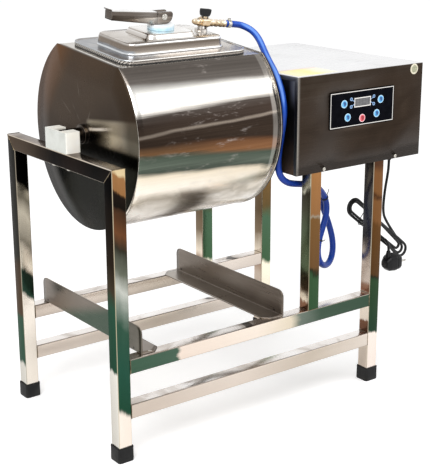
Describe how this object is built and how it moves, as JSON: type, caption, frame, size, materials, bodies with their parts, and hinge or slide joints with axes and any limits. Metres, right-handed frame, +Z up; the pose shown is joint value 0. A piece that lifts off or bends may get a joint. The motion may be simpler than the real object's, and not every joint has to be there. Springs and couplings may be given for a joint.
{
  "type": "vacuum meat mixer",
  "caption": "Horizontal drum with a clamped lid on a square tube stand, turned from a control box with a vacuum pump and hose.",
  "frame": {"origin": "on the floor under the middle of the machine's box, cords left out", "axes": "+Z up, +X along the drum's axis from the bearing end to the control box, +Y to the back, away from the key panel"},
  "size_m": [0.884, 0.4598, 0.9061],
  "materials": {
    "frame_steel": "mirror polished stainless steel",
    "drum_steel": "brushed stainless steel",
    "box_steel": "polished stainless sheet",
    "bracket_steel": "matt stainless sheet",
    "fixing_steel": "bright screws",
    "lever_steel": "polished stainless steel",
    "brass": "machined brass",
    "white_nylon": "white nylon",
    "gasket_rubber": "pale silicone rubber",
    "foot_rubber": "black rubber",
    "black_plastic": "black plastic",
    "cord_black": "black cord sheath",
    "hose_blue": "blue reinforced hose",
    "clamp_silver": "bright hose clamp",
    "panel_black": "printed black membrane",
    "key_blue": "blue key",
    "key_red": "red key",
    "display_glass": "dark display window",
    "light_lens": "indicator lens",
    "board_green": "circuit board",
    "motor_paint": "grey paint",
    "pump_paint": "blue paint"
  },
  "bodies": {
    "frame_and_box": {"left_front_leg": "frame_steel", "left_rear_leg": "frame_steel", "right_front_leg": "frame_steel", "right_rear_leg": "frame_steel", "front_middle_post": "frame_steel", "rear_middle_post": "frame_steel", "drum_end_bar": "frame_steel", "lower_front_rail": "frame_steel", "lower_rear_rail": "frame_steel", "upper_front_rail": "frame_steel", "upper_rear_rail": "frame_steel", "rubber_feet": "foot_rubber", "left_tray_bracket": "bracket_steel", "right_tray_bracket": "bracket_steel", "bracket_screws": "fixing_steel", "bearing_block": "white_nylon", "bearing_bolts": "fixing_steel", "box_cover": "box_steel", "box_chassis": "box_steel", "cover_screws": "fixing_steel", "key_panel": "panel_black", "display_window": "display_glass", "control_board": "board_green", "indicator_lights": "light_lens", "gear_motor": "motor_paint", "vacuum_pump": "pump_paint", "hose_fitting": "brass", "cord_gland": "black_plastic", "vacuum_hose": "hose_blue", "pump_hose": "hose_blue", "power_cord_drop": "cord_black", "power_cord_hank": "cord_black", "power_cord_lead": "cord_black", "power_plug": "black_plastic"},
    "drum": {"drum_shell": "drum_steel", "left_end_disc": "drum_steel", "right_end_disc": "drum_steel", "drum_journal": "drum_steel", "drum_coupling": "drum_steel", "drive_shaft": "fixing_steel", "drum_paddles": "drum_steel"},
    "lid": {"lid_gasket": "gasket_rubber", "lid_pan": "lever_steel", "vacuum_elbow": "brass", "valve_body": "brass", "hose_barb": "brass", "hose_end": "hose_blue", "hose_clamp": "clamp_silver"},
    "clamp_washer": {"lid_washer": "white_nylon"},
    "clamp": {"clamp_stem": "fixing_steel", "clamp_bar": "fixing_steel", "lever_pin": "fixing_steel"},
    "lever": {"cam_lever": "lever_steel"},
    "valve_tap": {"valve_handle": "black_plastic", "valve_ball": "fixing_steel"},
    "upper_left_key": {"key_upper_left": "key_blue"},
    "upper_right_key": {"key_upper_right": "key_blue"},
    "lower_left_key": {"key_lower_left": "key_blue"},
    "lower_right_key": {"key_lower_right": "key_blue"},
    "middle_key": {"key_middle": "key_red"}
  },
  "joints": [
    {"name": "drum_spin", "type": "hinge", "parent": "frame_and_box", "child": "drum", "pos_m": [-0.38, -0.00695, 0.655], "axis": [1, 0, 0], "continuous": true},
    {"name": "lid_lift", "type": "slide", "parent": "drum", "child": "lid", "axis": [0, -0.1045, 0.9945], "range_m": [0, 0.12]},
    {"name": "clamp_turn", "type": "hinge", "parent": "lid", "child": "clamp_washer", "pos_m": [-0.1705, -0.0288, 0.86286], "axis": [0, -0.1045, 0.9945], "range_deg": [0, 90]},
    {"name": "stem_rise", "type": "slide", "parent": "clamp_washer", "child": "clamp", "axis": [0, -0.1045, 0.9945], "range_m": [0, 0.00605]},
    {"name": "lever_flip", "type": "hinge", "parent": "clamp", "child": "lever", "pos_m": [-0.1705, -0.03165, 0.89001], "axis": [0, 0.9945, 0.1045], "range_deg": [0, 90]},
    {"name": "valve_turn", "type": "hinge", "parent": "lid", "child": "valve_tap", "pos_m": [-0.05718, -0.02948, 0.86939], "axis": [0.1219, -0.1037, 0.9871], "range_deg": [0, 90]},
    {"name": "upper_left_key_press", "type": "slide", "parent": "frame_and_box", "child": "upper_left_key", "axis": [0, 1, 0], "range_m": [0, 0.0005], "stiffness_N_per_m": 1200, "springref_m": -0.0006},
    {"name": "upper_right_key_press", "type": "slide", "parent": "frame_and_box", "child": "upper_right_key", "axis": [0, 1, 0], "range_m": [0, 0.0005], "stiffness_N_per_m": 1200, "springref_m": -0.0006},
    {"name": "lower_left_key_press", "type": "slide", "parent": "frame_and_box", "child": "lower_left_key", "axis": [0, 1, 0], "range_m": [0, 0.0005], "stiffness_N_per_m": 1200, "springref_m": -0.0006},
    {"name": "lower_right_key_press", "type": "slide", "parent": "frame_and_box", "child": "lower_right_key", "axis": [0, 1, 0], "range_m": [0, 0.0005], "stiffness_N_per_m": 1200, "springref_m": -0.0006},
    {"name": "middle_key_press", "type": "slide", "parent": "frame_and_box", "child": "middle_key", "axis": [0, 1, 0], "range_m": [0, 0.0005], "stiffness_N_per_m": 1200, "springref_m": -0.0006}
  ],
  "couplings": [
    {"joint": "stem_rise", "follows": "lever_flip", "m_per_rad": 0.0038197}
  ]
}
